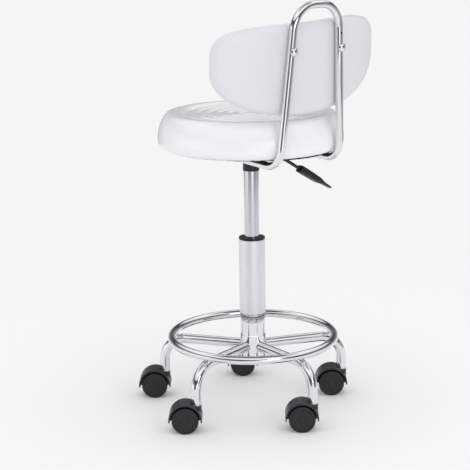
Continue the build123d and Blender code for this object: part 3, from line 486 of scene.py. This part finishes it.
STITCH_RADIUS = 157.6
STITCH_HEIGHT = 571.75
STITCH_COUNT = 262
STAPLE_COUNT = 72
STAPLE_RADIUS = 160.4
STAPLE_HEIGHT = 507.8
STAPLE_SIZE = (1.2, 10.5, 0.9)


def make_seat_stitching():
    """Thread of the seam that closes the seat's side to its top."""
    bm = bmesh.new()
    ring_stitches(bm, STITCH_RADIUS, STITCH_HEIGHT, STITCH_COUNT)
    return finish_piece("seat_stitching", bm, "white_vinyl", "seat")


def make_seat_staples():
    """Wire staples that hold the turned-under cover to the board."""
    bm = bmesh.new()
    length, width, height = (side * MM for side in STAPLE_SIZE)
    for index in range(STAPLE_COUNT):
        angle = math.tau * (index + 0.25 * math.sin(index * 2.3)) / STAPLE_COUNT
        made = bmesh.ops.create_cube(bm, size=1.0)
        shape = Matrix.Diagonal((length, width, height, 1.0))
        lean = Matrix.Rotation(angle + 0.16 * math.sin(index * 5.1), 4, "Z")
        outward = Vector((math.cos(angle), math.sin(angle), 0.0)) * (STAPLE_RADIUS * MM)
        place = Matrix.Translation(outward + Vector((0.0, 0.0, STAPLE_HEIGHT * MM)))
        bmesh.ops.transform(bm, matrix=place @ lean @ shape, verts=made["verts"])
    return finish_piece("seat_staples", bm, "zinc_steel", "seat", smooth=False)


def make_under_hem():
    """Loose black hem of the dust cover that hangs a little below the white cover."""
    profile = [(149.0, 508.1), (149.5, 507.5), (154.0, 507.3), (159.0, 507.2), (160.4, 507.6), (159.6, 508.3)]
    bm = turned(profile + profile[:1], 120)
    for vert in bm.verts:
        radius = math.hypot(vert.co.x, vert.co.y) / MM
        angle = math.atan2(vert.co.y, vert.co.x)
        wave = 0.5 + 0.5 * noise.noise(Vector((math.cos(angle) * 5.0, math.sin(angle) * 5.0, 0.7)))
        behind = max(0.0, math.sin(angle)) ** 3
        loose = max(0.0, radius - 150.0) / 9.0
        vert.co.z -= (1.1 * wave - 0.5 + 2.2 * behind) * loose * MM
    return finish_piece("dust_cover_hem", bm, "black_fabric", "seat", levels=1)


# ---------------------------------------------------------------- backrest

BACK_ORIGIN = Vector((0.0, 168.7, 496.0)) * MM
BACK_LEAN = math.radians(4.3)
BACK_UP = Vector((0.0, math.sin(BACK_LEAN), math.cos(BACK_LEAN)))
BACK_OUT = Vector((0.0, math.cos(BACK_LEAN), -math.sin(BACK_LEAN)))
BACK_CURVE = 400.0
BACK_HALF_WIDTH = 191.0
BACK_BOTTOM = 90.0
BACK_WIDEST = 176.0
BACK_TOP = 254.0
BACK_TILT = math.radians(2.1)
TOP_SQUARENESS = 4.4
BOTTOM_SQUARENESS = 2.2
FRAME_HALF_SPACING = 55.8
FRAME_TUBE_RADIUS = 7.0
FRAME_GAP = 1.0
FRAME_SAGITTA = BACK_CURVE - math.sqrt(BACK_CURVE**2 - FRAME_HALF_SPACING**2)
CURVE_CENTRE = FRAME_SAGITTA - (FRAME_TUBE_RADIUS + FRAME_GAP) - BACK_CURVE
OUTLINE_STEPS = 144


def power(value, exponent):
    """A power that keeps the sign of its value."""
    return math.copysign(abs(value) ** exponent, value)


def outline_at(angle, inset):
    """Point (across, up) of the backrest's outline, drawn in by inset millimetres."""
    across, rise = math.cos(angle), math.sin(angle)
    squareness = TOP_SQUARENESS if rise > 0 else BOTTOM_SQUARENESS
    reach = BACK_TOP - BACK_WIDEST if rise > 0 else BACK_WIDEST - BACK_BOTTOM
    x = (BACK_HALF_WIDTH - inset) * power(across, 2 / squareness)
    up = (reach - inset) * power(rise, 2 / squareness)
    return x, up


def on_curve(x, up, depth):
    """Place in metres of a point across and up the backrest and some depth inside its rear surface."""
    turned_x = x * math.cos(BACK_TILT) + up * math.sin(BACK_TILT)
    turned_up = BACK_WIDEST + up * math.cos(BACK_TILT) - x * math.sin(BACK_TILT)
    angle = math.asin(turned_x / BACK_CURVE)
    radius = BACK_CURVE - depth
    across = radius * math.sin(angle)
    out = CURVE_CENTRE + radius * math.cos(angle)
    return BACK_ORIGIN + (Vector((across, 0.0, 0.0)) + BACK_UP * turned_up + BACK_OUT * out) * MM


def evened_angles():
    """Angles that step evenly round the outline."""
    fine = [math.tau * step / 4000 for step in range(4000)]
    points = [Vector(outline_at(angle, 0.0)) for angle in fine]
    total = [0.0]
    for first, second in zip(points, points[1:]):
        total.append(total[-1] + (second - first).length)
    whole = total[-1] + (points[0] - points[-1]).length
    chosen, index = [], 0
    for step in range(OUTLINE_STEPS):
        while total[index] < whole * step / OUTLINE_STEPS:
            index += 1
        chosen.append(fine[index])
    return chosen


def close_middle(bm, ring):
    """Fills the narrow inside of a ring with a strip from its upper half to its lower half."""
    half = OUTLINE_STEPS // 2
    upper, lower = ring[1:half], ring[half + 1 :]
    chains = [pair for chain in (upper, lower) for pair in zip(chain, chain[1:])]
    edges = [bm.edges.get(pair) for pair in chains]
    bmesh.ops.bridge_loops(bm, edges=edges)
    for end in (ring[0], ring[half]):
        index = ring.index(end)
        bm.faces.new((ring[index - 1], end, ring[(index + 1) % OUTLINE_STEPS]))


def grow_rings(bm, rings):
    """Rings of places, each extruded from the one before; gives the first and the last ring's vertices."""
    steps = len(rings[0])
    ring = bmesh.ops.create_circle(bm, cap_ends=False, segments=steps, radius=1.0)["verts"]
    first = list(ring)
    for index, places in enumerate(rings):
        if index:
            loop = [bm.edges.get((ring[step - 1], ring[step])) for step in range(steps)]
            grown = bmesh.ops.extrude_edge_only(bm, edges=loop)["geom"]
            fresh = {item for item in grown if isinstance(item, bmesh.types.BMVert)}
            links = {edge.other_vert(vert): vert for vert in fresh for edge in vert.link_edges}
            ring = [links[vert] for vert in ring]
        for vert, place in zip(ring, places):
            vert.co = place
    return first, ring


def ringed(sections):
    """A closed bmesh of outline rings, each (inset, depth) in millimetres."""
    angles = evened_angles()
    rings = []
    for inset, depth in sections:
        share_x = (BACK_HALF_WIDTH - inset) / BACK_HALF_WIDTH
        places = []
        for angle in angles:
            x, up = outline_at(angle, 0.0)
            reach = BACK_TOP - BACK_WIDEST if up > 0 else BACK_WIDEST - BACK_BOTTOM
            places.append(on_curve(x * share_x, up * (reach - inset) / reach, depth))
        rings.append(places)
    bm = bmesh.new()
    for ring in grow_rings(bm, rings):
        close_middle(bm, ring)
    return bm


BACK_SEAM = 13.0
BACK_FRONT = [(0.3, 15.0), (0.0, 18.0), (1.0, 22.0), (3.6, 26.0), (8.0, 29.4), (14.0, 31.8), (22.0, 33.6)]
BACK_FRONT += [(32.0, 34.9), (44.0, 35.8), (56.0, 36.3), (66.0, 36.5), (72.0, 36.55)]


def make_backrest_cover():
    """Foam-filled front of the backrest with its rolled rim."""
    inside = [(72.0, 12.7), (46.0, 12.7), (21.5, 12.7), (20.6, 12.5), (12.0, 12.4), (3.0, 12.6), (1.2, BACK_SEAM)]
    bm = ringed(inside + BACK_FRONT)
    piece = finish_piece("backrest_cover", bm, "white_vinyl", "seat", ["backrest_cushion"], levels=1)
    return piece


def make_backrest_rear():
    """Covered rear of the backrest, whose rounded rim meets the front cover at a seam on the side."""
    sections = [(72.0, 3.8), (46.0, 3.8), (21.5, 3.8), (20.4, 4.2), (20.2, 11.8), (19.4, 12.2), (8.0, 12.3)]
    sections += [(1.6, 12.4), (0.7, 11.6), (0.0, 9.6), (0.6, 6.6), (2.4, 3.9), (5.4, 1.9), (9.4, 0.7)]
    sections += [(14.0, 0.15), (20.0, 0.0), (30.0, 0.0), (42.0, 0.0), (56.0, 0.0), (66.0, 0.0), (72.0, 0.0)]
    bm = ringed(sections)
    piece = finish_piece("backrest_rear_cover", bm, "grey_vinyl", "seat", ["back_panel"], levels=1)
    return piece


# ---------------------------------------------------------------- lever grip

GRIP_START = Vector((-119.7, 0.0, 449.3)) * MM
GRIP_SLOPE = math.radians(31.3)
# (distance along the grip, width, thickness, squareness), the last from 2 for an ellipse upwards
GRIP_SECTIONS = [(1.4, 6.6, 6.6, 2.0), (0.3, 9.0, 9.0, 2.4), (0.0, 14.0, 12.4, 3.6), (0.5, 16.4, 14.0, 4.0)]
GRIP_SECTIONS += [(2.0, 17.4, 14.8, 4.4), (6.0, 18.2, 15.0, 4.6), (18.0, 19.6, 14.6, 4.4), (34.0, 21.0, 13.8, 4.2)]
GRIP_SECTIONS += [(50.0, 21.6, 12.6, 4.0), (58.0, 21.4, 11.4, 3.8), (62.5, 20.6, 9.6, 3.4), (66.5, 19.2, 7.0, 3.0)]
GRIP_SECTIONS += [(72.0, 18.4, 5.6, 2.8), (82.0, 17.6, 4.8, 2.6), (89.0, 16.0, 4.2, 2.6), (92.6, 12.6, 3.6, 2.4)]
GRIP_SECTIONS += [(93.8, 8.0, 2.6, 2.2), (94.2, 2.0, 1.0, 2.0)]


def make_lever_grip():
    """Moulded grip: a square-shouldered block that thins to a flat tail."""
    along = Vector((-math.cos(GRIP_SLOPE), 0.0, -math.sin(GRIP_SLOPE)))
    across = Vector((0.0, 1.0, 0.0))
    over = across.cross(along)
    rings = []
    for distance, width, thickness, squareness in GRIP_SECTIONS:
        places = []
        for step in range(32):
            angle = math.tau * step / 32
            side = width / 2 * power(math.cos(angle), 2 / squareness)
            rise = thickness / 2 * power(math.sin(angle), 2 / squareness)
            places.append(GRIP_START + (along * distance + across * side + over * rise) * MM)
        rings.append(places)
    bm = bmesh.new()
    for ring in grow_rings(bm, rings):
        bmesh.ops.contextual_create(bm, geom=ring)
    return finish_piece("lever_grip", bm, "black_plastic", "lever", ["lever_handle"], levels=1)


make_lever_grip()
make_seat_cover()
make_seat_stitching()
make_seat_staples()
make_under_hem()
make_backrest_cover()
make_backrest_rear()

# ---------------------------------------------------------------- floor and light


FLOOR_COLOUR = (0.93, 0.93, 0.932)
FLOOR_SHADE = 0.93
FLOOR_RADIUS = 2.2
FADE_NEAR = 0.2
FADE_FAR = 1.5
BACKDROP_LEVEL = 0.913


def radial_fade(tree, near, far):
    """1 inside the near radius, falling smoothly to 0 at the far one, in metres from the column's axis."""
    place = tree.nodes.new("ShaderNodeTexCoord")
    length = tree.nodes.new("ShaderNodeVectorMath")
    length.operation = "LENGTH"
    tree.links.new(place.outputs["Object"], length.inputs[0])
    spread = tree.nodes.new("ShaderNodeMapRange")
    spread.interpolation_type = "SMOOTHSTEP"
    tree.links.new(length.outputs["Value"], spread.inputs["Value"])
    spread.inputs["From Min"].default_value = near
    spread.inputs["From Max"].default_value = far
    spread.inputs["To Min"].default_value = 1.0
    spread.inputs["To Max"].default_value = 0.0
    return spread.outputs["Result"]


def make_floor():
    """A white disc of floor whose own light grows outwards until it equals the backdrop."""
    bm = bmesh.new()
    bmesh.ops.create_circle(bm, cap_ends=True, segments=96, radius=FLOOR_RADIUS)
    mesh = bpy.data.meshes.new("floor")
    bm.to_mesh(mesh)
    bm.free()
    finish = Finish("studio_floor", FLOOR_COLOUR, specular=0.0)
    finish.shader.inputs["Roughness"].default_value = 0.9
    finish.shader.inputs["Emission Strength"].default_value = 1.0
    fade = radial_fade(finish.tree, FADE_NEAR, FADE_FAR)
    for label, near, far in (("Base Color", FLOOR_SHADE, 0.0), ("Emission Color", 0.0, BACKDROP_LEVEL)):
        finish.tree.links.new(mixed(finish.tree, fade, far, near), finish.shader.inputs[label])
    facing = finish.tree.nodes.new("ShaderNodeNewGeometry").outputs["Backfacing"]
    finish.tree.links.new(maths(finish.tree, "SUBTRACT", 1.0, facing), finish.shader.inputs["Alpha"])
    mesh.materials.append(finish.material)
    floor = bpy.data.objects.new("floor", mesh)
    scene.collection.objects.link(floor)


def mixed(tree, factor, first, second):
    """A colour Mix node; each colour is a link or a brightness."""
    node = tree.nodes.new("ShaderNodeMix")
    node.data_type = "RGBA"
    tree.links.new(factor, node.inputs["Factor"])
    for label, value in (("A", first), ("B", second)):
        if isinstance(value, float):
            node.inputs[label].default_value = (value, value, value * 1.005, 1.0)
        else:
            tree.links.new(value, node.inputs[label])
    return node.outputs["Result"]


def make_world():
    """A plain white backdrop, and around it a studio with broad lit and unlit walls for the chrome to show."""
    world = bpy.data.worlds.new("studio")
    scene.world = world
    world.use_nodes = True
    tree = world.node_tree
    background = tree.nodes["Background"]
    place = tree.nodes.new("ShaderNodeTexCoord")
    split = tree.nodes.new("ShaderNodeSeparateXYZ")
    tree.links.new(place.outputs["Generated"], split.inputs["Vector"])
    azimuth = maths(tree, "ARCTAN2", split.outputs["Y"], split.outputs["X"])
    share = maths(tree, "ADD", maths(tree, "MULTIPLY", azimuth, 1 / math.tau), 0.5)
    ramp = tree.nodes.new("ShaderNodeValToRGB")
    ramp.color_ramp.interpolation = "EASE"
    elements = ramp.color_ramp.elements
    for degrees, bright in WALL_BANDS:
        position = (degrees + 180.0) / 360.0
        element = elements[0] if degrees == -180 else elements[-1] if degrees == 180 else elements.new(position)
        element.color = (bright, bright, bright * 1.01, 1.0)
    tree.links.new(share, ramp.inputs["Fac"])
    height = maths(tree, "ADD", maths(tree, "MULTIPLY", split.outputs["Z"], 0.5), 0.5)
    upright = level_ramp(tree, height, SHINE_LEVELS)
    walls_share = level_ramp(tree, height, WALL_SHARE)
    mirrored = mixed(tree, walls_share, upright, brightened(tree, ramp.outputs["Color"], WALL_LEVEL))
    lighting = level_ramp(tree, height, LIGHT_LEVELS)
    path = tree.nodes.new("ShaderNodeLightPath")
    room = mixed(tree, path.outputs["Is Glossy Ray"], lighting, mirrored)
    seen = mixed(tree, path.outputs["Is Camera Ray"], room, BACKDROP_LEVEL)
    tree.links.new(seen, background.inputs["Color"])


def level_ramp(tree, factor, stops):
    """A smooth grey ramp over height from (height from -1 to 1, brightness) pairs."""
    ramp = tree.nodes.new("ShaderNodeValToRGB")
    ramp.color_ramp.interpolation = "EASE"
    elements = ramp.color_ramp.elements
    for height, bright in stops:
        element = elements[0] if height == -1 else elements[-1] if height == 1 else elements.new(height / 2 + 0.5)
        element.color = (bright, bright, bright * 1.005, 1.0)
    tree.links.new(factor, ramp.inputs["Fac"])
    return ramp.outputs["Color"]


def brightened(tree, colour, level):
    """A colour times a plain level."""
    node = tree.nodes.new("ShaderNodeVectorMath")
    node.operation = "SCALE"
    tree.links.new(colour, node.inputs[0])
    node.inputs["Scale"].default_value = level
    return node.outputs["Vector"]


# (azimuth in degrees, share of full brightness) of the studio's walls, as polished parts show them
WALL_BANDS = [(-180, 0.24), (-120, 0.20), (-75, 0.24), (-45, 0.6), (-15, 0.75), (5, 0.25), (20, 0.05), (34, 0.06)]
WALL_BANDS += [(52, 0.30), (66, 1.0), (84, 0.55), (98, 0.12), (108, 0.04), (120, 0.12), (140, 0.26), (180, 0.24)]
WALL_LEVEL = 1.7
# (height of the direction from -1 to 1, brightness or share)
SHINE_LEVELS = [(-1, 0.8), (-0.3, 0.7), (0.22, 0.10), (0.42, 0.06), (0.56, 0.9), (0.8, 1.1), (0.93, 0.3), (1, 0.2)]
WALL_SHARE = [(-1, 0.0), (-0.5, 0.3), (-0.3, 1.0), (0.12, 1.0), (0.26, 0.15), (0.4, 0.0), (1, 0.0)]
LIGHT_LEVELS = [(-1, 1.0), (0.0, 1.05), (0.4, 1.1), (0.7, 0.93), (1, 0.88)]


def area_light(name, place, aim, size, energy):
    """A round soft light at a place, turned to face its aim."""
    data = bpy.data.lights.new(name, "AREA")
    data.shape = "DISK"
    data.size = size
    data.energy = energy
    light = bpy.data.objects.new(name, data)
    light.location = place
    light.rotation_euler = (Vector(aim) - Vector(place)).to_track_quat("-Z", "Y").to_euler()
    scene.collection.objects.link(light)


make_floor()
make_world()
area_light("top_softbox", (0.6, 0.9, 2.6), (0.0, 0.0, 0.3), 2.2, 4.0)
area_light("side_softbox", (0.42, 2.16, 0.95), (0.0, 0.1, 0.52), 0.8, 4.0)
